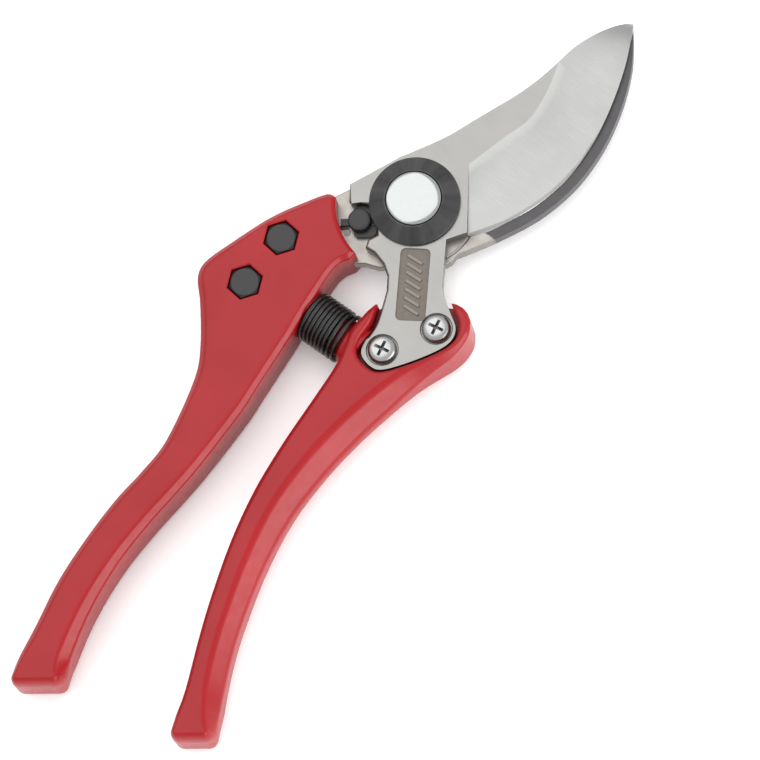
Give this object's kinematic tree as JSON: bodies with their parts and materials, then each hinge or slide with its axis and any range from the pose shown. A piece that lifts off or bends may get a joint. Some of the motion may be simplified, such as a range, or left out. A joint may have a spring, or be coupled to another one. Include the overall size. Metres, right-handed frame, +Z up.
{
  "type": "pruning shears",
  "caption": "Bypass pruning shears with curved handles, a hollow-ground blade closing past a coated hook, a bevelled pivot ring, a return spring and a thumb lock.",
  "frame": {"origin": "centre of the closed tool's outline, on the plane that both handles rest on", "axes": "+Y along the tool towards the blade tips, +Z up from the table towards the side with the ring, +X to the right, where the hook and the moving handle are"},
  "size_m": [0.0728, 0.2179, 0.015],
  "materials": {
    "red_paint": "satin red lacquer over a cast alloy handle",
    "blade_steel": "hollow ground and satin polished",
    "hook_coating": "dark anti-stick coating on forged steel, bare at the heel and tang",
    "black_steel": "black oxide steel, satin",
    "polished_steel": "polished domed head",
    "zinc_steel": "bright zinc plate",
    "bush_bronze": "sintered bronze",
    "dark_plastic": "matt dark polymer"
  },
  "bodies": {
    "hook_side": {"hook_blade": "hook_coating", "left_handle": "red_paint", "handle_bolts": "black_steel", "handle_washers": "zinc_steel", "handle_nuts": "black_steel", "pivot_bolt": "polished_steel", "pivot_ring": "black_steel", "pivot_nut": "black_steel", "pivot_nut_washer": "zinc_steel", "stop_pin": "zinc_steel", "return_spring": "black_steel"},
    "blade_side": {"cutting_blade": "blade_steel", "right_handle": "red_paint", "blade_screws": "zinc_steel", "blade_screw_nuts": "zinc_steel", "pivot_bush": "bush_bronze", "friction_washer": "dark_plastic", "lock_leaf_spring": "zinc_steel"},
    "lock": {"lock_slider": "hook_coating", "lock_knob": "black_steel"}
  },
  "joints": [
    {"name": "blade_pivot", "type": "hinge", "parent": "hook_side", "child": "blade_side", "pos_m": [-0.00403, 0.04196, 0.0097], "axis": [0, 0, 1], "range_deg": [0, 35], "deforming": ["return_spring"]},
    {"name": "lock_slide", "type": "slide", "parent": "blade_side", "child": "lock", "axis": [-0.7997, -0.6004, 0], "range_m": [0, 0.0014]}
  ]
}
